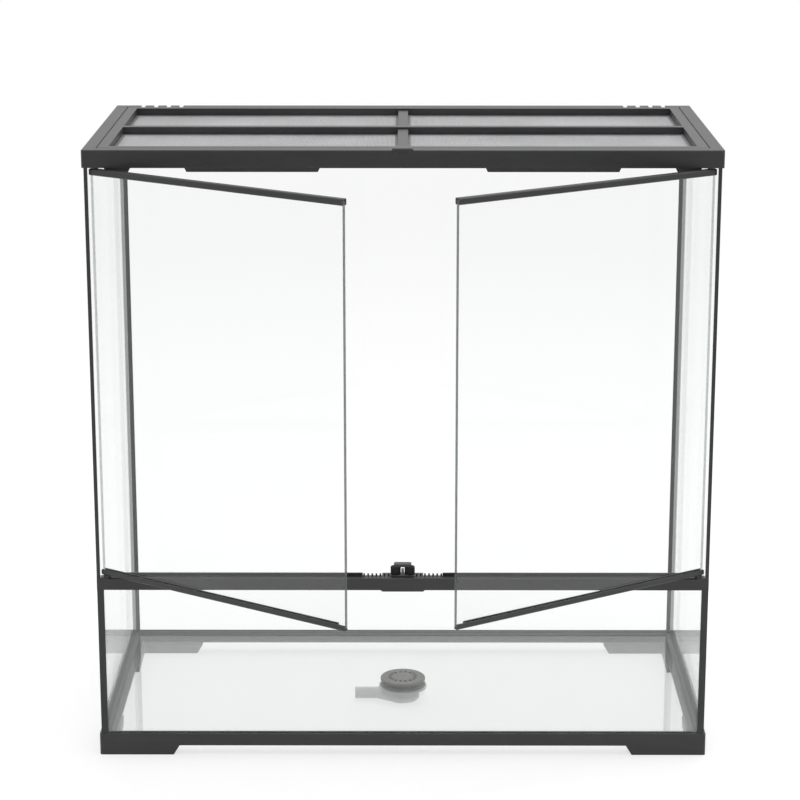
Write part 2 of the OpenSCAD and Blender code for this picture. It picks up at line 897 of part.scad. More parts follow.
// Both pins of a door. Each is flatted where it lies beside the pane's groove.
module door_pins() {
    translate([0, 0, door_top_z - door_rail_floor])
        cylinder(d = pin_d, h = door_rail_floor + door_top_gap + pin_len);
    translate([0, 0, bar_z - pin_len])
        cylinder(d = pin_d, h = pin_len + door_bottom_gap + door_rail_floor);
}

module door_pin_seats() {
    translate([0, 0, door_top_z - pin_grip])
        cylinder(d = pin_d + 2 * part_gap, h = pin_grip + 1);
    translate([0, 0, door_low_z - 1])
        cylinder(d = pin_d + 2 * part_gap, h = pin_grip + 1);
}

module left_door_glass() {
    color(glass_colour)
        left_door_place()
            door_pane();
}

module left_door_top_rail() {
    color(frame_colour)
        left_door_place()
            door_top_rail();
}

module left_door_bottom_rail() {
    color(frame_colour)
        left_door_place()
            door_bottom_rail();
}

module left_door_pins() {
    color(steel_colour)
        left_door_place()
            door_pins();
}

module right_door_glass() {
    color(glass_colour)
        right_door_place()
            door_pane();
}

module right_door_top_rail() {
    color(frame_colour)
        right_door_place()
            door_top_rail();
}

module right_door_bottom_rail() {
    color(frame_colour)
        right_door_place()
            door_bottom_rail();
}

module right_door_pins() {
    color(steel_colour)
        right_door_place()
            door_pins();
}

// ---------------------------------------------------------------- lid

function lid_section() = [
    [0, cabinet_h - flange_t], [0, cabinet_h - edge_bevel], [edge_bevel, cabinet_h],
    [lid_rim_w, cabinet_h], [lid_rim_w, screen_top_z], [lid_rim_w - lid_wall, screen_top_z],
    [lid_rim_w - lid_wall, cabinet_h - flange_t],
    [flange_over + lid_wall, cabinet_h - flange_t], [flange_over + lid_wall, ledge_z],
    [flange_over, ledge_z], [flange_over, cabinet_h - flange_t]
];

// The two slits that free a latch tongue in the front skirt.
module tongue_slits() {
    for (x = [-tongue_w / 2 - tongue_slit, tongue_w / 2])
        translate([x, -1, -1])
            cube([tongue_slit, lid_wall + 2, tongue_h + 1]);
}

module lid_frame() {
    inner_w = lid_w - 2 * lid_rim_w + 1;
    inner_d = lid_d - 2 * lid_rim_w + 1;
    color(frame_colour)
        difference() {
            union() {
                frame_sweep(lid_w, lid_d, lid_section());
                span([-inner_w / 2, -lid_bar_w / 2, screen_top_z],
                     [inner_w / 2, lid_bar_w / 2, cabinet_h]);
                span([-lid_bar_w / 2, -inner_d / 2, screen_top_z],
                     [lid_bar_w / 2, inner_d / 2, cabinet_h - lid_bar_step]);
            }
            for (x = [-tongue_x2, -tongue_x1, tongue_x1, tongue_x2])
                translate([x, -lid_d / 2 + flange_over, ledge_z])
                    tongue_slits();
        }
}

// Screen under the lid's bars, with its gaps in the four open fields.
module lid_screen() {
    edge = flange_over + lid_wall + groove_fit;
    step_x = field_w / screen_nx;
    step_y = field_d / screen_ny;
    color(screen_colour)
        translate([0, 0, screen_z])
            linear_extrude(screen_t)
                difference() {
                    square([lid_w - 2 * edge, lid_d - 2 * edge], center = true);
                    for (sx = [-1, 1], sy = [-1, 1], i = [0 : screen_nx - 1], j = [0 : screen_ny - 1])
                        translate([sx * (lid_bar_w / 2 + (i + 0.5) * step_x),
                                   sy * (lid_bar_w / 2 + (j + 0.5) * step_y)])
                            square([step_x - screen_wire, step_y - screen_wire], center = true);
                }
}

// ---------------------------------------------------------------- drain

module drain_strainer() {
    top = flange_z + strainer_t;
    body_r = body_d / 2;
    end_r = body_end_d / 2;
    straight_z = flange_z - slot_drop - 1;
    color(frame_colour)
        difference() {
            union() {
                rotate_extrude()
                    polygon([
                        [0, flange_z], [0, top], [strainer_d / 2 - 1, top],
                        [strainer_d / 2, top - 1], [strainer_d / 2, flange_z],
                        [body_r, flange_z], [body_r, straight_z],
                        [end_r, flange_z - body_len], [end_r - body_wall, flange_z - body_len],
                        [body_r - body_wall, straight_z], [body_r - body_wall, flange_z]
                    ]);
                for (a = [lug_turn, 180 - lug_turn, 180 + lug_turn, -lug_turn])
                    rotate([0, 0, a])
                        span([ring_d / 2 + 0.3, -lug_w / 2, base_top_z + 2 * ring_play],
                             [strainer_d / 2 - 0.2, lug_w / 2, flange_z]);
            }
            // slots through the flange and down the body
            for (i = [0 : slot_count - 1])
                rotate([0, 0, (i + 0.5) * 360 / slot_count])
                    translate([body_r - body_wall - 1.2, -slot_w / 2, flange_z - slot_drop])
                        cube([body_wall + 2, slot_w, slot_drop + strainer_t + 1]);
        }
}

module drain_ring() {
    color(seal_colour)
        translate([0, 0, ring_z + ring_t / 2])
            rotate_extrude()
                translate([(ring_d - ring_t) / 2, 0])
                    circle(d = ring_t, $fn = 32);
}

module drain_gasket() {
    color(seal_colour)
        translate([0, 0, cup_top_z])
            difference() {
                cylinder(d = cup_flange_d - 2, h = gasket_t);
                translate([0, 0, -1])
                    cylinder(d = drain_hole_d + 1, h = gasket_t + 2);
            }
}

// The spout's bore, from the drain's axis out past the spout's end.
module spout_bore() {
    translate([0, 0, spout_z])
        rotate([0, -90, 0])
            cylinder(d = spout_d - 2 * spout_wall, h = spout_reach + 1);
}

module drain_cup() {
    outer_r = cup_d / 2;
    inner_r = outer_r - cup_wall;
    port_r = spout_d / 2 - spout_wall + port_side;
    color(cup_colour)
        difference() {
            rotate_extrude()
                polygon([
                    [0, cup_clear], [outer_r - cup_chamfer, cup_clear],
                    [outer_r, cup_clear + cup_chamfer], [outer_r, cup_top_z - cup_flange_t],
                    [cup_flange_d / 2, cup_top_z - cup_flange_t],
                    [cup_flange_d / 2, cup_top_z], [inner_r, cup_top_z],
                    [inner_r, cup_floor_z], [0, cup_floor_z]
                ]);
            // port in the wall, a little wider than the spout's bore behind it
            span([-cup_d, -port_r, cup_floor_z], [0, port_r, spout_z + port_r]);
        }
}

// Spout with a root that widens to both sides of the cup.
module hose_spout() {
    outer_r = cup_d / 2;
    color(cup_colour)
        difference() {
            union() {
                translate([-spout_root, 0, spout_z])
                    rotate([0, -90, 0])
                        cylinder(d = spout_d, h = spout_reach - spout_root);
                hull() {
                    translate([-spout_root, 0, spout_z])
                        rotate([0, 90, 0])
                            cylinder(d = spout_d + 2 * root_step, h = 1, $fn = 32);
                    translate([0, 0, cup_clear + root_in])
                        cylinder(r = outer_r - cup_chamfer - root_in, h = 1, $fn = 32);
                    translate([0, 0, cup_clear + cup_chamfer])
                        cylinder(r = outer_r - root_in, h = root_top_z - cup_clear - cup_chamfer,
                                 $fn = 32);
                }
            }
            cylinder(r = outer_r + part_gap, h = cup_top_z);
            // ends the root where its sides would thin out along the cup
            translate([-root_trim * outer_r, -far / 2, 0])
                cube([far, far, cup_top_z]);
            spout_bore();
        }
}

// ---------------------------------------------------------------- nodes

bottom_frame();
base_glass();
base_seal();
back_glass();
side_glass_left();
side_glass_right();
front_glass();
back_seal_left();
back_seal_right();
front_seal_left();
front_seal_right();
edge_trim_left();
edge_trim_right();
top_frame();
rim_clip();
vent_bar();
upper_hinge_bushes();
lower_hinge_bushes();
catch_base();
catch_pins();
catch_plate();
catch_roller_left();
catch_roller_right();
left_door_glass();
left_door_top_rail();
left_door_bottom_rail();
left_door_pins();
right_door_glass();
right_door_top_rail();
right_door_bottom_rail();
right_door_pins();
lid_frame();
lid_screen();
drain_cup();
hose_spout();
drain_gasket();
drain_ring();
drain_strainer();
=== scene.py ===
import json
import logging
import math
from dataclasses import dataclass, field
from enum import Enum
from typing import Any, Iterable, Sequence, Union

import bmesh
import bpy
from mathutils import Matrix, Vector


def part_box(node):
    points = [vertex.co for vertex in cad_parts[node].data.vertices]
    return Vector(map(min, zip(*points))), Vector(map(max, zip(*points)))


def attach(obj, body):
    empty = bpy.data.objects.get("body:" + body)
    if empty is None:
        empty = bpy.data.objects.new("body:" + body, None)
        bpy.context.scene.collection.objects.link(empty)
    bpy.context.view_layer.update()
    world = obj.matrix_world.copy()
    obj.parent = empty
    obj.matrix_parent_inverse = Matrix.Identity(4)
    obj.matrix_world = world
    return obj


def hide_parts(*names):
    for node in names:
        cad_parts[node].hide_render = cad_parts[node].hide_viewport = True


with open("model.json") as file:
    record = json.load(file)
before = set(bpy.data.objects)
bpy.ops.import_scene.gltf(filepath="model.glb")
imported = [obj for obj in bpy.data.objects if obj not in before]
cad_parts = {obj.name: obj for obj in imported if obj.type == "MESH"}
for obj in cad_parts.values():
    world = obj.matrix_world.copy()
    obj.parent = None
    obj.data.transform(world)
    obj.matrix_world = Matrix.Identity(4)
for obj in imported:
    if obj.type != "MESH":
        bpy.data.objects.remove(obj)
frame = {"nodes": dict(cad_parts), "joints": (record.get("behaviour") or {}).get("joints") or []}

log = logging.getLogger("terrarium")

Colour = tuple[float, float, float]
Span = tuple[float, float]
Point = Sequence[float]

MM = 0.001
ALONG_X = (1.0, 0.0, 0.0)
ALONG_Y = (0.0, 1.0, 0.0)
ALONG_Z = (0.0, 0.0, 1.0)
UNSTRETCHED = (1.0, 1.0, 1.0)
WHITE = (1.0, 1.0, 1.0)
NOISE_MEAN = 0.5


# ---------------------------------------------------------------- shader graph

class Wire:
    """An output socket of a shader graph that Python's operators work on."""

    def __init__(self, graph: "Graph", socket: bpy.types.NodeSocket) -> None:
        """Keeps the socket with the graph that new nodes are added to.

        Args:
            graph: The graph that the socket belongs to.
            socket: The output socket to wrap.
        """
        self.graph = graph
        self.socket = socket

    def _math(self, operation: str, first: "Value", second: "Value") -> "Wire":
        """Adds one Math node.

        Args:
            operation: The Math node's operation.
            first: Its first value.
            second: Its second value.

        Returns:
            The node's result.
        """
        return self.graph.add("ShaderNodeMath", {"operation": operation}, {0: first, 1: second})

    def __add__(self, other: "Value") -> "Wire":
        """self + other."""
        return self._math("ADD", self, other)

    __radd__ = __add__

    def __sub__(self, other: "Value") -> "Wire":
        """self - other."""
        return self._math("SUBTRACT", self, other)

    def __rsub__(self, other: "Value") -> "Wire":
        """other - self."""
        return self._math("SUBTRACT", other, self)

    def __mul__(self, other: "Value") -> "Wire":
        """self * other."""
        return self._math("MULTIPLY", self, other)

    __rmul__ = __mul__

    def __pow__(self, other: "Value") -> "Wire":
        """self ** other."""
        return self._math("POWER", self, other)

    def at_most(self, other: "Value") -> "Wire":
        """The smaller of self and other."""
        return self._math("MINIMUM", self, other)


Value = Union[Wire, float]


class Ray(Enum):
    """The kinds of ray that a shader can tell apart."""

    CAMERA = "Is Camera Ray"
    PASSED = "Is Transmission Ray"
    MIRRORED = "Is Glossy Ray"


class Graph:
    """The node tree of a material or of the world, and the ways to add to it."""

    edge_gain = 12.0
    bevel_samples = 4

    def __init__(self, owner: Union[bpy.types.Material, bpy.types.World]) -> None:
        """Empties the owner's node tree.

        Args:
            owner: The material or world that the tree belongs to.
        """
        owner.use_nodes = True
        self.tree = owner.node_tree
        self.tree.nodes.clear()

    def add(self, kind: str, settings: dict[str, Any], sockets: dict[Union[str, int], Any],
            out: Union[str, int] = 0) -> Wire:
        """Adds a node.

        Args:
            kind: The node's type.
            settings: Its settings, set first.
            sockets: The values or links of its inputs, by name or number.
            out: The output to return, by name or number.

        Returns:
            The chosen output.
        """
        node = self.tree.nodes.new(kind)
        for name, value in settings.items():
            setattr(node, name, value)
        for name, value in sockets.items():
            socket = node.inputs[name]
            if isinstance(value, Wire):
                self.tree.links.new(value.socket, socket)
            elif socket.type == "RGBA":
                socket.default_value = (*value, 1.0)
            else:
                socket.default_value = value
        return Wire(self, node.outputs[out])

    def place(self, stretch: Point = UNSTRETCHED) -> Wire:
        """The point on the object, in metres, stretched along its axes.

        Args:
            stretch: The factors along X, Y and Z.

        Returns:
            The coordinates.
        """
        coordinates = self.add("ShaderNodeTexCoord", {}, {}, "Object")
        return self.add("ShaderNodeMapping", {}, {"Vector": coordinates, "Scale": stretch})

    def noise(self, place: Wire, scale: float, detail: float = 2.0) -> Wire:
        """Soft noise from 0 to 1.

        Args:
            place: Where to read it.
            scale: Its lumps per metre.
            detail: Its octaves.

        Returns:
            The noise.
        """
        sockets = {"Vector": place, "Scale": scale, "Detail": detail}
        return self.add("ShaderNodeTexNoise", {}, sockets)

    def mix(self, share: Value, first: Any, second: Any) -> Wire:
        """A colour between two.

        Args:
            share: 0 for the first, 1 for the second.
            first: The first colour.
            second: The second colour.

        Returns:
            The mixed colour.
        """
        return self.add("ShaderNodeMix", {"data_type": "RGBA"}, {0: share, 6: first, 7: second}, 2)

    def dot(self, first: Wire, second: Union[Wire, Point]) -> Wire:
        """The dot product of two vectors."""
        settings = {"operation": "DOT_PRODUCT"}
        return self.add("ShaderNodeVectorMath", settings, {0: first, 1: second}, 1)

    def length(self, vector: Wire) -> Wire:
        """The length of a vector."""
        return self.add("ShaderNodeVectorMath", {"operation": "LENGTH"}, {0: vector}, 1)

    def smooth(self, value: Wire, span: Span, results: Span = (0.0, 1.0)) -> Wire:
        """Turns a span of values into another along a smooth step.

        Args:
            value: The value to turn.
            span: Where the step starts and ends.
            results: The results at its start and its end.

        Returns:
            The result.
        """
        return self.add("ShaderNodeMapRange", {"interpolation_type": "SMOOTHSTEP"}, {
            "Value": value, "From Min": span[0], "From Max": span[1],
            "To Min": results[0], "To Max": results[1]})

    def is_ray(self, ray: Ray) -> Wire:
        """1 for a kind of ray and 0 for the others."""
        return self.add("ShaderNodeLightPath", {}, {}, ray.value)

    def soft_normal(self, radius: float) -> Wire:
        """The normal, rounded within a radius of the edges, in metres."""
        return self.add("ShaderNodeBevel", {"samples": self.bevel_samples}, {"Radius": radius})

    def edges(self, soft_normal: Wire) -> Wire:
        """How near an edge a point is, from 0 on flat faces to about 1 on an edge.

        Args:
            soft_normal: The rounded normal.

        Returns:
            The mask.
        """
        normal = self.add("ShaderNodeNewGeometry", {}, {}, "Normal")
        return (self.edge_gain * (1.0 - self.dot(soft_normal, normal))).at_most(1.0)

    def bump(self, height: Wire, depth: float, normal: Union[Wire, None] = None) -> Wire:
        """A bumped normal.

        Args:
            height: The height, from 0 to 1.
            depth: What a height of 1 stands for, in metres.
            normal: The normal to bump, or None for the surface's own.

        Returns:
            The normal.
        """
        sockets = {"Height": height, "Distance": depth}
        if normal is not None:
            sockets["Normal"] = normal
        return self.add("ShaderNodeBump", {}, sockets, "Normal")

    def principled(self, **sockets: Any) -> Wire:
        """A Principled shader.

        Args:
            sockets: Its inputs, by name with underscores for spaces.

        Returns:
            The shader.
        """
        named = {name.replace("_", " "): value for name, value in sockets.items()}
        return self.add("ShaderNodeBsdfPrincipled", {}, named)

    def clear(self, tint: Colour) -> Wire:
        """A shader that lets light straight through, with a tint."""
        return self.add("ShaderNodeBsdfTransparent", {}, {"Color": tint})

    def glow(self, strength: Value) -> Wire:
        """A white shader that gives light of its own."""
        return self.add("ShaderNodeEmission", {}, {"Strength": strength})

    def blend_shaders(self, share: Value, first: Wire, second: Wire) -> Wire:
        """A shader between two, from 0 for the first to 1 for the second."""
        return self.add("ShaderNodeMixShader", {}, {0: share, 1: first, 2: second})

    def finish(self, shader: Wire, kind: str = "ShaderNodeOutputMaterial") -> None:
        """Links the shader to the output.

        Args:
            shader: The finished shader.
            kind: The output node's type.
        """
        self.tree.links.new(shader.socket, self.tree.nodes.new(kind).inputs["Surface"])


# ---------------------------------------------------------------- finishes

def shade(colour: Colour, factor: float) -> Colour:
    """A colour made lighter or darker by a factor."""
    return tuple(factor * part for part in colour)


@dataclass(frozen=True)
class Finish:
    """A surface that pieces can be given. Each kind of finish draws its own graph.

    In each of them a scale is a pattern's lumps per metre, a depth is a bump's height in
    metres, a span is the noise at which a pattern starts and is full, and darkest and
    lightest are factors of the colour.
    """

    name: str

    def draw(self, graph: Graph) -> Wire:
        """Draws the graph and returns its shader."""
        raise NotImplementedError

    def material(self) -> bpy.types.Material:
        """The material, made on first use."""
        made = bpy.data.materials.get(self.name)
        if made is None:
            made = bpy.data.materials.new(self.name)
            graph = Graph(made)
            graph.finish(self.draw(graph))
        return made


@dataclass(frozen=True)
class MouldedPlastic(Finish):
    """Spark-eroded moulded plastic, worn smoother and lighter along its edges."""

    colour: Colour = (0.027, 0.027, 0.028)
    worn: Colour = (0.075, 0.075, 0.077)
    roughness: float = 0.42
    ior: float = 1.5
    skin: float = 0.15
    skin_least: float = 0.8
    skin_change: float = 0.4
    skin_roughness: float = 0.35
    cloud_scale: float = 7.0
    cloud_share: float = 0.6
    cloud_roughness: float = 0.12
    flow_scale: float = 30.0
    flow_stretch: Point = (1.0, 1.0, 6.0)
    flow_share: float = 0.4
    flow_roughness: float = 0.08
    tone_span: Span = (0.3, 0.7)
    darkest: float = 0.8
    lightest: float = 1.2
    edge: float = 0.0005
    rub_scale: float = 160.0
    rub_span: Span = (0.35, 0.65)
    rub_share: Span = (0.25, 0.8)
    rub_polish: float = 0.10
    grain_scale: float = 2400.0
    grain_depth: float = 0.00003

    def draw(self, graph: Graph) -> Wire:
        """Broad tone, fine grain and worn edges.

        Args:
            graph: The graph to draw in.

        Returns:
            The shader.
        """
        place = graph.place()
        broad = graph.noise(place, self.cloud_scale, 3.0)
        flow = graph.noise(graph.place(self.flow_stretch), self.flow_scale)
        fine = graph.noise(place, self.grain_scale, 1.0)
        soft = graph.soft_normal(self.edge)
        rubs = graph.smooth(graph.noise(place, self.rub_scale, 3.0), self.rub_span, self.rub_share)
        wear = graph.edges(soft) * rubs
        mottle = graph.smooth(broad * self.cloud_share + flow * self.flow_share, self.tone_span)
        tone = graph.mix(mottle, shade(self.colour, self.darkest),
                         shade(self.colour, self.lightest))
        rough = (self.roughness - self.rub_polish * wear
                 + self.cloud_roughness * (broad - NOISE_MEAN)
                 + self.flow_roughness * (flow - NOISE_MEAN))
        return graph.principled(
            Base_Color=self.add_painted_shade(graph, graph.mix(wear, tone, self.worn)),
            Roughness=rough, IOR=self.ior,
            Coat_Weight=self.skin * (self.skin_least + self.skin_change * broad),
            Coat_Roughness=self.skin_roughness,
            Normal=graph.bump(fine, self.grain_depth, soft))

    def add_painted_shade(self, graph: Graph, colour: Wire) -> Wire:
        """The plastic's own colour, with no painted shade added."""
        return colour


@dataclass(frozen=True)
class ShadedStrainerPlastic(MouldedPlastic):
    """The strainer's plastic, with painted shade that makes it nearly black in its slots and under
    its flange.

    Heights are above the floor, and the slots' ends are measured from the drain's axis.
    """

    # The colour of the painted shade in the slots and under the flange.
    painted_shade: Colour = (0.008, 0.008, 0.007)
    # How far the painted shade goes towards that colour.
    share: float = 0.88
    flange_low: float = 22.5 * MM
    flange_high: float = 25.1 * MM
    slots_in: float = 11.4 * MM
    slots_out: float = 15.4 * MM
    bleed: float = 0.3 * MM
    axis_stretch: Point = (1.0, 1.0, 0.0)

    def add_painted_shade(self, graph: Graph, colour: Wire) -> Wire:
        """Paints shade on the basket under the flange and on the walls of the slots.

        Args:
            graph: The graph to draw in.
            colour: The plastic's own colour.

        Returns:
            The colour with its painted shade.
        """
        height = graph.dot(graph.place(), ALONG_Z)
        out = graph.length(graph.place(self.axis_stretch))
        beyond = graph.smooth(out, (self.slots_in - self.bleed, self.slots_in))
        within = graph.smooth(out, (self.slots_out, self.slots_out + self.bleed), (1.0, 0.0))
        rise = self.flange_high - self.flange_low - self.bleed
        line = self.flange_low + beyond * within * rise
        # Painted shade: full under the flange's line, which rises over the walls of the slots.
        shade_mask = graph.smooth(height - line, (-self.bleed, 0.0), (self.share, 0.0))
        return graph.mix(shade_mask, colour, self.painted_shade)


@dataclass(frozen=True)
class PaneGlass(Finish):
    """Float glass: clear, a little mirrored at a slant, with faint wipe marks."""

    tint: Colour = (0.991, 0.993, 0.992)
    mirror: Colour = (0.95, 0.96, 0.96)
    facing: float = 0.032
    grazing: float = 0.5
    slant_power: float = 5.0
    roughness: float = 0.02
    wipe_scale: float = 16.0
    wipe_stretch: Point = (1.0, 1.0, 0.35)
    wipe_span: Span = (0.50, 0.72)
    wipe_roughness: float = 0.10
    wipe_veil: float = 0.006
    wave_scale: float = 5.0
    wave_depth: float = 0.00006

    def draw(self, graph: Graph) -> Wire:
        """A clear shader under a mirror that grows with the slant.

        Args:
            graph: The graph to draw in.

        Returns:
            The shader.
        """
        place = graph.place(self.wipe_stretch)
        wipe = graph.smooth(graph.noise(place, self.wipe_scale, 4.0), self.wipe_span)
        slant = graph.add("ShaderNodeLayerWeight", {}, {"Blend": 0.5}, "Facing")
        mirrored = self.facing + (self.grazing - self.facing) * slant ** self.slant_power
        gloss = graph.principled(
            Base_Color=self.mirror, Metallic=1.0,
            Roughness=self.roughness + self.wipe_roughness * wipe,
            Normal=graph.bump(graph.noise(place, self.wave_scale), self.wave_depth))
        return graph.blend_shaders(
            mirrored + self.wipe_veil * wipe, graph.clear(self.tint), gloss)


@dataclass(frozen=True)
class GlassEdge(Finish):
    """The ground, green-grey edge of a pane."""

    colour: Colour = (0.105, 0.115, 0.112)
    tint: Colour = (0.88, 0.91, 0.90)
    cover: float = 0.4
    roughness: float = 0.22
    ior: float = 1.5
    lightest: float = 1.8
    cloud_scale: float = 40.0
    cloud_cover: float = 0.1
    mark_scale: float = 900.0
    mark_depth: float = 0.00002
    mark_roughness: float = 0.2

    def draw(self, graph: Graph) -> Wire:
        """Ground glass with grinding marks.

        Args:
            graph: The graph to draw in.

        Returns:
            The shader.
        """
        place = graph.place()
        marks = graph.noise(place, self.mark_scale)
        cloud = graph.noise(place, self.cloud_scale)
        ground = graph.principled(
            Base_Color=graph.mix(cloud, self.colour, shade(self.colour, self.lightest)),
            Roughness=self.roughness + self.mark_roughness * marks, IOR=self.ior,
            Normal=graph.bump(marks, self.mark_depth))
        return graph.blend_shaders(self.cover + self.cloud_cover * (cloud - NOISE_MEAN),
                                   graph.clear(self.tint), ground)


@dataclass(frozen=True)
class Sealant(Finish):
    """Tooled silicone: smooth, slightly wavy and dark."""

    colour: Colour = (0.035, 0.036, 0.038)
    lightest: float = 1.7
    roughness: float = 0.30
    ior: float = 1.41
    wave_scale: float = 70.0
    wave_depth: float = 0.0004
    wave_roughness: float = 0.2
    pit_scale: float = 900.0
    pit_span: Span = (0.66, 0.74)
    pit_share: float = 0.4

    def draw(self, graph: Graph) -> Wire:
        """A wavy gloss with a few pinholes.

        Args:
            graph: The graph to draw in.

        Returns:
            The shader.
        """
        place = graph.place()
        wave = graph.noise(place, self.wave_scale, 3.0)
        pits = graph.smooth(graph.noise(place, self.pit_scale), self.pit_span)
        return graph.principled(
            Base_Color=graph.mix(wave, self.colour, shade(self.colour, self.lightest)),
            Roughness=self.roughness + self.wave_roughness * wave, IOR=self.ior,
            Normal=graph.bump(wave - self.pit_share * pits, self.wave_depth))


@dataclass(frozen=True)
class Wirework(Finish):
    """Fine steel wire, dull, with tone that changes from wire to wire."""

    colour: Colour = (0.62, 0.62, 0.63)
    darkest: float = 0.7
    lightest: float = 1.3
    metallic: float = 0.6
    roughness: float = 0.42
    drawn_out: float = 0.02
    streak_scale: float = 900.0
    streak_share: float = 0.6
    streak_depth: float = 0.00002
    dull_scale: float = 14.0
    dull_share: float = 0.4
    dull_roughness: float = 0.2

    def draw(self, graph: Graph) -> Wire:
        """Drawn metal with streaks along both layers of wire.

        Args:
            graph: The graph to draw in.

        Returns:
            The shader.
        """
        along_x = graph.noise(graph.place((self.drawn_out, 1.0, 1.0)), self.streak_scale)
        along_y = graph.noise(graph.place((1.0, self.drawn_out, 1.0)), self.streak_scale)
        streaks = 0.5 * (along_x + along_y)
        dull = graph.noise(graph.place(), self.dull_scale, 3.0)
        tone = graph.mix(self.streak_share * streaks + self.dull_share * dull,
                         shade(self.colour, self.darkest), shade(self.colour, self.lightest))
        return graph.principled(
            Base_Color=tone, Metallic=self.metallic,
            Roughness=self.roughness + self.dull_roughness * dull,
            Normal=graph.bump(streaks, self.streak_depth))


@dataclass(frozen=True)
class TurnedSteel(Finish):
    """Bright pin steel with turning marks round its axis."""

    colour: Colour = (0.56, 0.56, 0.55)
    darkest: float = 0.75
    roughness: float = 0.18
    ring_scale: float = 9000.0
    ring_stretch: Point = (0.03, 0.03, 1.0)
    ring_depth: float = 0.00001
    ring_roughness: float = 0.18
    stain_scale: float = 300.0
    stain_roughness: float = 0.1

    def draw(self, graph: Graph) -> Wire:
        """Rings along Z over a bright metal.

        Args:
            graph: The graph to draw in.

        Returns:
            The shader.
        """
        rings = graph.noise(graph.place(self.ring_stretch), self.ring_scale)
        stain = graph.noise(graph.place(), self.stain_scale, 3.0)
        rough = self.roughness + self.ring_roughness * rings + self.stain_roughness * stain
        return graph.principled(
            Base_Color=graph.mix(stain, shade(self.colour, self.darkest), self.colour),
            Metallic=1.0, Roughness=rough, Normal=graph.bump(rings, self.ring_depth))


@dataclass(frozen=True)
class Rubber(Finish):
    """Matt black rubber with a bloom of dust, lightened on its ridges by a painted highlight and
    rubbing wear.
    """

    colour: Colour = (0.022, 0.022, 0.023)
    dust: Colour = (0.09, 0.09, 0.088)
    # Light grey of the ridges: a painted highlight together with rubbing wear.
    ridge_highlight_and_wear: Colour = (0.34, 0.34, 0.335)
    roughness: float = 0.62
    ior: float = 1.5
    dust_scale: float = 120.0
    dust_span: Span = (0.45, 0.8)
    dust_share: float = 0.45
    dust_roughness: float = 0.2
    edge: float = 0.0006
    rub_scale: float = 500.0
    rub_span: Span = (0.35, 0.6)
    pore_scale: float = 1800.0
    pore_depth: float = 0.00005

    def draw(self, graph: Graph) -> Wire:
        """Dust in the pores of a matt skin, with a painted highlight and wear on the ridges.

        Args:
            graph: The graph to draw in.

        Returns:
            The shader.
        """
        place = graph.place()
        pores = graph.noise(place, self.pore_scale, 3.0)
        bloom = graph.smooth(graph.noise(place, self.dust_scale, 3.0), self.dust_span)
        soft = graph.soft_normal(self.edge)
        rubs = graph.smooth(graph.noise(place, self.rub_scale), self.rub_span)
        dusty = graph.mix(self.dust_share * bloom, self.colour, self.dust)
        return graph.principled(
            # Painted highlight and rubbing wear: the ridges are mixed towards a light grey in
            # patches.
            Base_Color=graph.mix(graph.edges(soft) * rubs, dusty, self.ridge_highlight_and_wear),
            Roughness=self.roughness + self.dust_roughness * bloom, IOR=self.ior,
            Normal=graph.bump(pores, self.pore_depth, soft))


@dataclass(frozen=True)
class CloudyPlastic(Finish):
    """Milky, see-through moulded plastic."""

    colour: Colour = (0.70, 0.71, 0.71)
    tint: Colour = (0.93, 0.95, 0.95)
    cover: float = 0.62
    lightest: float = 1.3
    roughness: float = 0.26
    ior: float = 1.46
    cloud_scale: float = 90.0
    cloud_share: float = 0.6
    cloud_cover: float = 0.16
    cloud_roughness: float = 0.2
    edge: float = 0.0006
    edge_share: float = 0.4
    grain_scale: float = 1500.0
    grain_depth: float = 0.00002

    def draw(self, graph: Graph) -> Wire:
        """A milky body that lets some of what is behind it through.

        Args:
            graph: The graph to draw in.

        Returns:
            The shader.
        """
        place = graph.place()
        cloud = graph.noise(place, self.cloud_scale, 3.0)
        grain = graph.noise(place, self.grain_scale)
        soft = graph.soft_normal(self.edge)
        tone = graph.mix(self.cloud_share * cloud + self.edge_share * graph.edges(soft),
                         self.colour, shade(self.colour, self.lightest))
        body = graph.principled(
            Base_Color=tone, Roughness=self.roughness + self.cloud_roughness * cloud,
            IOR=self.ior, Normal=graph.bump(grain, self.grain_depth, soft))
        return graph.blend_shaders(self.cover + self.cloud_cover * (cloud - NOISE_MEAN),
                                   graph.clear(self.tint), body)


@dataclass(frozen=True)
class StudioFloor(Finish):
    """The white floor. The camera sees it a little lifted, with the object's shadow kept."""

    colour: Colour = (0.86, 0.86, 0.86)
    roughness: float = 0.9
    lift: float = 0.51
    lifted_to: float = 1.33
    fade_span: Span = (1.6, 3.6)

    def draw(self, graph: Graph) -> Wire:
        """Matt white that fades into the backdrop with distance.

        Args:
            graph: The graph to draw in.

        Returns:
            The shader.
        """
        shown = (graph.is_ray(Ray.CAMERA) + graph.is_ray(Ray.PASSED)
                 + graph.is_ray(Ray.MIRRORED)).at_most(1.0)
        paint = graph.principled(Base_Color=self.colour, Roughness=self.roughness)
        lit = graph.blend_shaders(shown * self.lift, paint, graph.glow(self.lifted_to))
        far = graph.smooth(graph.length(graph.place()), self.fade_span) * shown
        return graph.blend_shaders(far, lit, graph.glow(shown))


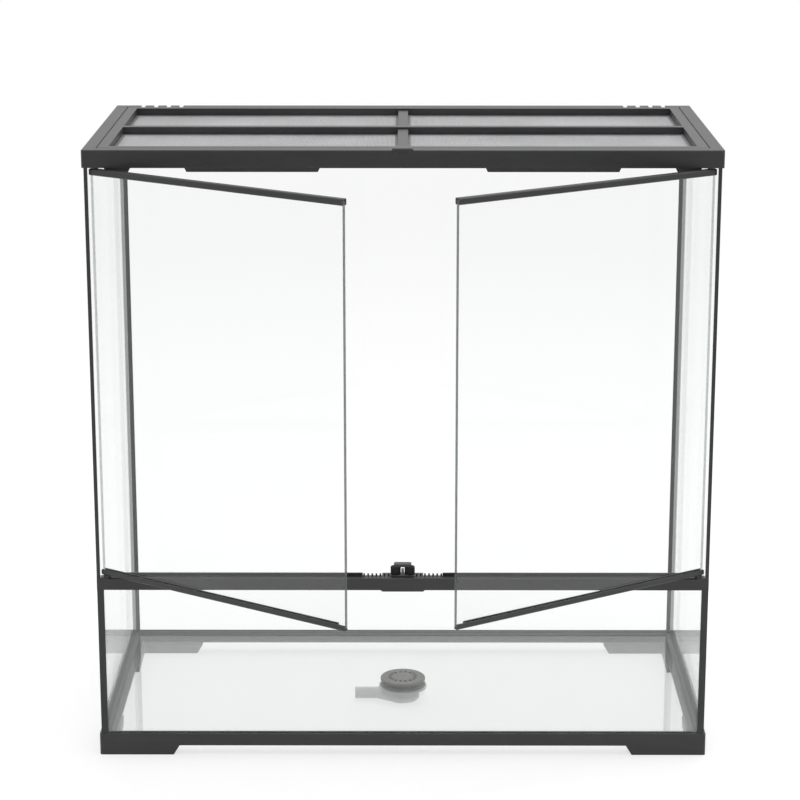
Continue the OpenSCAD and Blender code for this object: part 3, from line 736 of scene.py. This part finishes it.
FRAME_PLASTIC = MouldedPlastic("frame_plastic_charcoal")
LID_PLASTIC = MouldedPlastic(
    "lid_plastic_charcoal", colour=(0.044, 0.044, 0.045), worn=(0.10, 0.10, 0.103), roughness=0.44)
CLIP_PLASTIC = MouldedPlastic("clip_plastic_black", colour=(0.018, 0.018, 0.019), roughness=0.34)
POST_PLASTIC = MouldedPlastic(
    "catch_post_grey", colour=(0.13, 0.13, 0.132), worn=(0.34, 0.34, 0.34), roughness=0.34)
BUSH_PLASTIC = MouldedPlastic("bush_plastic_black", colour=(0.016, 0.016, 0.017), roughness=0.30)
SCREEN_HEM = MouldedPlastic(
    "screen_hem_grey", colour=(0.16, 0.16, 0.165), worn=(0.3, 0.3, 0.3), roughness=0.5)
# The strainer's plastic, with painted shade in its slots and under its flange.
STRAINER_PLASTIC = ShadedStrainerPlastic(
    "strainer_plastic_taupe", colour=(0.092, 0.087, 0.078), worn=(0.17, 0.16, 0.145),
    roughness=0.46)
PANE = PaneGlass("pane_glass_clear")
BACK_PANE = PaneGlass("pane_glass_back", tint=(0.966, 0.967, 0.967), facing=0.008, grazing=0.35)
FRONT_PANE = PaneGlass("pane_glass_front", facing=0.07, grazing=0.7)
SIDE_PANE = PaneGlass("pane_glass_side", facing=0.02, grazing=0.95)
BASE_PANE = PaneGlass("pane_glass_base", facing=0.08, grazing=1.0)
PANE_EDGE = GlassEdge("pane_glass_edge")
FREE_EDGE = GlassEdge("pane_glass_free_edge", colour=(0.075, 0.088, 0.085), cover=0.85)
SILICONE = Sealant("silicone_black")
SCREEN_WIRE = Wirework("screen_wire_steel")
PIN_STEEL = TurnedSteel("pin_steel")
ROLLER_RUBBER = Rubber("roller_rubber")
CUP_PLASTIC = CloudyPlastic("cup_plastic_cloudy")
GASKET_SILICONE = CloudyPlastic("gasket_silicone_milky", colour=(0.55, 0.56, 0.55), cover=0.75)
FLOOR_WHITE = StudioFloor("studio_floor_white")


class Slot(Enum):
    """The record's material slots, which new pieces keep with them."""

    GLASS = "pane_glass"
    SCREEN = "screen_mesh"
    STRAINER = "strainer_plastic"


class Rim(Enum):
    """The narrow faces round a pane, by the number of their finish on it."""

    HELD = 1
    FREE = 2


# ---------------------------------------------------------------- piece making

def dress(finish: Finish, *nodes: str) -> None:
    """Gives CAD nodes a finish.

    Args:
        finish: The finish to give.
        nodes: The nodes' names.
    """
    for name in nodes:
        node = frame["nodes"][name]
        if not node.material_slots:
            node.data.materials.append(finish.material())
        for holder in node.material_slots:
            holder.material = finish.material()
        log.info("%s: %s", name, finish.name)


def show(name: str, mesh: bmesh.types.BMesh, finishes: Iterable[Finish]) -> bpy.types.Object:
    """Turns a finished bmesh into an object of the scene.

    Args:
        name: The object's name.
        mesh: The bmesh, which is used up.
        finishes: The finishes, in the order of its faces' materials.

    Returns:
        The object.
    """
    data = bpy.data.meshes.new(name)
    mesh.to_mesh(data)
    mesh.free()
    for finish in finishes:
        data.materials.append(finish.material())
    made = bpy.data.objects.new(name, data)
    bpy.context.scene.collection.objects.link(made)
    return made


def vertices(geometry: Iterable[Any]) -> list[bmesh.types.BMVert]:
    """The vertices among what a bmesh operator returns."""
    return [item for item in geometry if isinstance(item, bmesh.types.BMVert)]


class Piece:
    """A new mesh piece while it is being shaped."""

    plain_facing = 0.9

    def __init__(self, name: str, body: str, slot: Slot) -> None:
        """Starts an empty piece.

        Args:
            name: The piece's name.
            body: The CAD body that it rides on.
            slot: The record's material slot; not used.
        """
        self.name = name
        self.body = body
        self.slot = slot
        self.mesh = bmesh.new()

    def block(self, low: Point, high: Point, arris: float = 0.0) -> list[bmesh.types.BMVert]:
        """Adds a block with its edges broken.

        Args:
            low: Its lowest corner.
            high: Its highest corner.
            arris: The width of the broken edges, or 0 for sharp ones.

        Returns:
            The block's vertices.
        """
        size = [b - a for a, b in zip(low, high)]
        middle = [(a + b) / 2 for a, b in zip(low, high)]
        made = bmesh.ops.create_cube(self.mesh, size=1.0)["verts"]
        bmesh.ops.scale(self.mesh, vec=size, verts=made)
        bmesh.ops.translate(self.mesh, vec=middle, verts=made)
        if arris > 0.0:
            edges = list({edge for vert in made for edge in vert.link_edges})
            made = self.break_edges(edges, arris)
        return made

    def break_edges(self, edges: Sequence[bmesh.types.BMEdge],
                    arris: float) -> list[bmesh.types.BMVert]:
        """Cuts one narrow flat along each edge.

        Args:
            edges: The edges to break.
            arris: The width that is cut back.

        Returns:
            The new vertices.
        """
        return bmesh.ops.bevel(self.mesh, geom=edges, offset=arris, affect="EDGES", segments=1,
                               profile=0.5, material=-1)["verts"]

    def turn(self, matrix: Matrix) -> None:
        """Moves all of the piece."""
        bmesh.ops.transform(self.mesh, matrix=matrix, verts=self.mesh.verts[:])

    def mark_rim(self, across: Point) -> None:
        """Gives the narrow faces round a pane a finish of their own.

        Args:
            across: The axis across the pane, which its two large faces look along.
        """
        self.mesh.normal_update()
        for face in self.mesh.faces:
            if abs(face.normal.dot(Vector(across))) < self.plain_facing:
                face.material_index = Rim.HELD.value

    def place(self, finishes: Sequence[Finish], replaces: Iterable[str] = ()) -> None:
        """Makes the object, rides it on its body and reports it.

        Args:
            finishes: Its finishes, in the order of its faces' materials.
            replaces: The CAD nodes that it stands for.
        """
        made = show(self.name, self.mesh, finishes)
        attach(made, self.body)
        if replaces:
            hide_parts(*replaces)
        log.info("%s: %d faces on %s", self.name, len(made.data.polygons), self.body)


# ---------------------------------------------------------------- studio

@dataclass
class Studio:
    """The floor, the light and the camera, in metres and degrees."""

    target: Point = (-0.003, 0.0, 0.3244)
    distance: float = 2.518
    elevation: float = 14.70
    azimuth: float = 0.15
    lens: float = 111.4
    sensor: float = 36.0
    nearest: float = 0.05
    floor: float = 9.0
    surround_level: float = 0.72
    mirrored_level: float = 0.16
    back_way: Point = (0.0, 1.0, 0.35)
    back_span: Span = (-0.85, 0.15)
    front_level: float = 0.32
    top_span: Span = (0.35, 1.0)
    top_level: float = 0.08
    lamp_power: float = 24.0
    lamp_place: Point = (0.3, 0.2, 2.4)
    lamp_target: Point = (0.0, 0.0, 0.3)
    lamp_size: float = 1.8

    def build_floor(self) -> None:
        """Lays the floor under the feet."""
        mesh = bmesh.new()
        bmesh.ops.create_grid(mesh, x_segments=1, y_segments=1, size=self.floor)
        show("floor", mesh, [FLOOR_WHITE])

    def build_world(self) -> None:
        """A soft white surround, darker in front, that the camera sees as white."""
        world = bpy.data.worlds.new("studio_surround")
        bpy.context.scene.world = world
        graph = Graph(world)
        direction = graph.add("ShaderNodeTexCoord", {}, {}, "Generated")
        behind = graph.smooth(graph.dot(direction, self.back_way), self.back_span,
                              (self.front_level, 1.0))
        above = graph.smooth(graph.dot(direction, ALONG_Z), self.top_span, (0.0, self.top_level))
        shown = (graph.is_ray(Ray.CAMERA) + graph.is_ray(Ray.PASSED)).at_most(1.0)
        plain = self.surround_level + self.mirrored_level * graph.is_ray(Ray.MIRRORED)
        level = shown + (1.0 - shown) * (behind * plain + above)
        light = graph.add("ShaderNodeBackground", {}, {"Color": WHITE, "Strength": level})
        graph.finish(light, "ShaderNodeOutputWorld")

    def build_lamp(self) -> None:
        """One wide soft lamp above the lid."""
        light = bpy.data.lights.new("softbox", "AREA")
        light.shape = "SQUARE"
        light.size = self.lamp_size
        light.energy = self.lamp_power
        lamp = bpy.data.objects.new("softbox", light)
        lamp.location = self.lamp_place
        aim = Vector(self.lamp_target) - lamp.location
        lamp.rotation_euler = aim.to_track_quat("-Z", "Y").to_euler()
        bpy.context.scene.collection.objects.link(lamp)

    def build_camera(self) -> None:
        """The camera at the photograph's angle."""
        across, up = math.radians(self.azimuth), math.radians(self.elevation)
        back = Vector((math.sin(across) * math.cos(up), -math.cos(across) * math.cos(up),
                       math.sin(up)))
        lens = bpy.data.cameras.new("camera")
        lens.lens = self.lens
        lens.sensor_width = self.sensor
        lens.clip_start = self.nearest
        camera = bpy.data.objects.new("camera", lens)
        camera.location = Vector(self.target) + self.distance * back
        camera.rotation_euler = (-back).to_track_quat("-Z", "Y").to_euler()
        bpy.context.scene.collection.objects.link(camera)
        bpy.context.scene.camera = camera

    def build(self) -> None:
        """Sets the whole stage."""
        bpy.context.scene.view_settings.view_transform = "Standard"
        self.build_floor()
        self.build_world()
        self.build_lamp()
        self.build_camera()
        log.info("studio: camera %.3f m away at %.1f degrees", self.distance, self.elevation)


# ---------------------------------------------------------------- cabinet

@dataclass
class GlassBox:
    """The fixed panes, the base and the seals between them."""

    arris: float = 0.45 * MM
    panes: dict[str, tuple[Point, PaneGlass]] = field(default_factory=lambda: {
        "back_glass": (ALONG_Y, BACK_PANE), "front_glass": (ALONG_Y, FRONT_PANE),
        "side_glass_left": (ALONG_X, SIDE_PANE), "side_glass_right": (ALONG_X, SIDE_PANE)})

    def build_pane(self, node: str, across: Point, glass: PaneGlass) -> None:
        """A pane with ground, broken edges.

        Args:
            node: The CAD pane that it stands for.
            across: The axis across the pane.
            glass: The finish of its large faces.
        """
        low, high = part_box(node)
        piece = Piece(f"{node}_pane", "cabinet", Slot.GLASS)
        piece.block(low, high, self.arris)
        piece.mark_rim(across)
        piece.place([glass, PANE_EDGE], [node])

    def build(self) -> None:
        """Builds the panes and dresses what holds them."""
        for node, (across, glass) in self.panes.items():
            self.build_pane(node, across, glass)
        dress(BASE_PANE, "base_glass")
        dress(FRAME_PLASTIC, "bottom_frame", "top_frame", "vent_bar")
        dress(SILICONE, "base_seal", "back_seal_left", "back_seal_right",
              "front_seal_left", "front_seal_right")
        dress(CLIP_PLASTIC, "edge_trim_left", "edge_trim_right", "rim_clip")


@dataclass
class Catch:
    """The roller catch on the vent bar."""

    def build(self) -> None:
        """Dresses the catch's plates, pins and rollers."""
        dress(POST_PLASTIC, "catch_base")
        dress(CLIP_PLASTIC, "catch_plate")
        dress(PIN_STEEL, "catch_pins")
        dress(ROLLER_RUBBER, "catch_roller_left", "catch_roller_right")


# ---------------------------------------------------------------- doors

class Side(Enum):
    """The two doors, each with the way that its free edge looks when it is closed."""

    LEFT = 1.0
    RIGHT = -1.0


@dataclass
class Door:
    """A glass door in its top and bottom rails."""

    side: Side
    arris: float = 0.5 * MM
    free_facing: float = 0.6

    def opened(self, name: str) -> Matrix:
        """The turn about the hinge from closed to the stored place.

        Args:
            name: The door's name.

        Returns:
            The turn.
        """
        joint = next(j for j in frame["joints"] if j["name"] == f"{name}_hinge")
        centre = Matrix.Translation(Vector(joint["pos_m"]))
        turn = Matrix.Rotation(math.radians(-joint["range_deg"][0]), 4, Vector(joint["axis"]))
        return centre @ turn @ centre.inverted()

    def build(self) -> None:
        """Builds the pane and dresses the rails and pins."""
        name = f"{self.side.name.lower()}_door"
        node = f"{name}_glass"
        opened = self.opened(name)
        closed = opened.inverted()
        corners = [closed @ vert.co for vert in frame["nodes"][node].data.vertices]
        low = [min(corner[axis] for corner in corners) for axis in range(3)]
        high = [max(corner[axis] for corner in corners) for axis in range(3)]
        piece = Piece(f"{name}_pane", name, Slot.GLASS)
        piece.block(low, high, self.arris)
        piece.mark_rim(ALONG_Y)
        for face in piece.mesh.faces:
            if face.normal.x * self.side.value > self.free_facing:
                face.material_index = Rim.FREE.value
        piece.turn(opened)
        piece.place([PANE, PANE_EDGE, FREE_EDGE], [node])
        dress(FRAME_PLASTIC, f"{name}_top_rail", f"{name}_bottom_rail")
        dress(PIN_STEEL, f"{name}_pins")


@dataclass
class HingeBushes:
    """The bushes that the doors' pins turn in."""

    def build(self) -> None:
        """Dresses the bushes."""
        dress(BUSH_PLASTIC, "upper_hinge_bushes", "lower_hinge_bushes")


# ---------------------------------------------------------------- lid

class OpenField(Enum):
    """The lid's four open fields, by the signs of their places along X and Y."""

    FRONT_LEFT = (-1, -1)
    FRONT_RIGHT = (1, -1)
    BACK_LEFT = (-1, 1)
    BACK_RIGHT = (1, 1)


@dataclass
class Lid:
    """The lid's frame and its screen of crossing wires."""

    pitch: float = 1.25 * MM
    wire: float = 0.34 * MM
    hem: float = 2.6 * MM
    hem_height: float = 0.5 * MM
    hem_arris: float = 0.12 * MM
    hem_gap: float = 0.02 * MM
    field_low: Point = (5.1 * MM, 5.1 * MM)
    field_high: Point = (276.4 * MM, 126.4 * MM)

    def build_wires(self) -> None:
        """Two layers of straight wire, one along X and one along Y."""
        low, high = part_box("lid_screen")
        middle = (low.z + high.z) / 2
        piece = Piece("lid_screen_wires", "lid", Slot.SCREEN)
        for along, across, base in ((0, 1, middle - self.wire), (1, 0, middle)):
            count = int((high[across] - low[across]) / self.pitch)
            start = [0.0, 0.0, base]
            end = [0.0, 0.0, base + self.wire]
            start[along], end[along] = low[along], high[along]
            start[across] = (low[across] + high[across] - (count - 1) * self.pitch - self.wire) / 2
            end[across] = start[across] + self.wire
            step = Vector((0.0, 0.0, 0.0))
            step[across] = self.pitch
            strand = piece.block(start, end)
            faces = [face for face in piece.mesh.faces
                     if all(vert in strand for vert in face.verts)]
            for index in range(1, count):
                copy = bmesh.ops.duplicate(piece.mesh, geom=strand + faces)["geom"]
                bmesh.ops.translate(piece.mesh, vec=step * index, verts=vertices(copy))
        piece.place([SCREEN_WIRE], ["lid_screen"])

    def build_hem(self, part: OpenField) -> None:
        """A strip that holds the screen down round one open field.

        Args:
            part: The field.
        """
        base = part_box("lid_screen")[1].z + self.hem_gap
        size = [high - low for low, high in zip(self.field_low, self.field_high)]
        middle = [sign * (low + high) / 2
                  for sign, low, high in zip(part.value, self.field_low, self.field_high)]
        piece = Piece(f"lid_screen_hem_{part.name.lower()}", "lid", Slot.SCREEN)
        mesh = piece.mesh
        bmesh.ops.create_grid(mesh, x_segments=1, y_segments=1, size=0.5)
        bmesh.ops.scale(mesh, vec=(*size, 1.0), verts=mesh.verts[:])
        bmesh.ops.translate(mesh, vec=(*middle, base), verts=mesh.verts[:])
        inside = mesh.faces[:]
        bmesh.ops.inset_region(mesh, faces=inside, thickness=self.hem, use_even_offset=True,
                               use_boundary=True)
        bmesh.ops.delete(mesh, geom=inside, context="FACES")
        grown = bmesh.ops.extrude_face_region(mesh, geom=mesh.faces[:])["geom"]
        bmesh.ops.translate(mesh, vec=(0.0, 0.0, self.hem_height), verts=vertices(grown))
        bmesh.ops.recalc_face_normals(mesh, faces=mesh.faces[:])
        piece.break_edges(mesh.edges[:], self.hem_arris)
        piece.place([SCREEN_HEM])

    def build(self) -> None:
        """Builds the screen and its hems and dresses the lid's frame."""
        self.build_wires()
        for part in OpenField:
            self.build_hem(part)
        dress(LID_PLASTIC, "lid_frame")


# ---------------------------------------------------------------- drain

@dataclass
class Drain:
    """The strainer, its sealing ring, the gasket and the cup under the base.

    The ridge is the thread's section, in shares of its depth and its width.
    """

    thread_pitch: float = 2.0 * MM
    thread_turns: float = 5.5
    thread_low: float = 5.6 * MM
    thread_radius_low: float = 12.55 * MM
    thread_taper: float = 0.147
    thread_depth: float = 0.45 * MM
    thread_width: float = 1.4 * MM
    ridge: tuple[tuple[float, float], ...] = (
        (-0.15, -0.45), (1.0, -0.18), (1.0, 0.18), (-0.15, 0.45))
    steps_per_turn: int = 40

    def build_thread(self) -> None:
        """A raised thread that winds up the strainer's tapered body."""
        piece = Piece("strainer_thread", "strainer", Slot.STRAINER)
        mesh = piece.mesh
        section = [mesh.verts.new((self.thread_radius_low + out * self.thread_depth, 0.0,
                                   self.thread_low + rise * self.thread_width))
                   for out, rise in self.ridge]
        start = mesh.faces.new(section)
        bmesh.ops.spin(
            mesh, geom=[start, *start.edges, *start.verts], cent=(0.0, 0.0, 0.0), axis=ALONG_Z,
            dvec=(0.0, 0.0, self.thread_pitch / self.steps_per_turn),
            angle=math.radians(360.0 * self.thread_turns),
            steps=int(self.thread_turns * self.steps_per_turn), use_merge=False)
        for vert in mesh.verts:
            reach = self.thread_radius_low + self.thread_taper * (vert.co.z - self.thread_low)
            vert.co.xy *= reach / self.thread_radius_low
        bmesh.ops.recalc_face_normals(mesh, faces=mesh.faces[:])
        piece.place([STRAINER_PLASTIC])

    def build(self) -> None:
        """Builds the thread and dresses the drain's parts."""
        self.build_thread()
        dress(STRAINER_PLASTIC, "drain_strainer")
        dress(ROLLER_RUBBER, "drain_ring")
        dress(GASKET_SILICONE, "drain_gasket")
        dress(CUP_PLASTIC, "drain_cup", "hose_spout")


# ---------------------------------------------------------------- assembly

def main() -> None:
    """Builds the stage and the cabinet, in order."""
    logging.basicConfig(level=logging.INFO, format="%(message)s")
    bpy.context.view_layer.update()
    for part in (Studio(), GlassBox(), Catch(), HingeBushes(), Door(Side.LEFT), Door(Side.RIGHT),
                 Lid(), Drain()):
        part.build()
    bpy.context.view_layer.update()


if __name__ == "__main__":
    main()
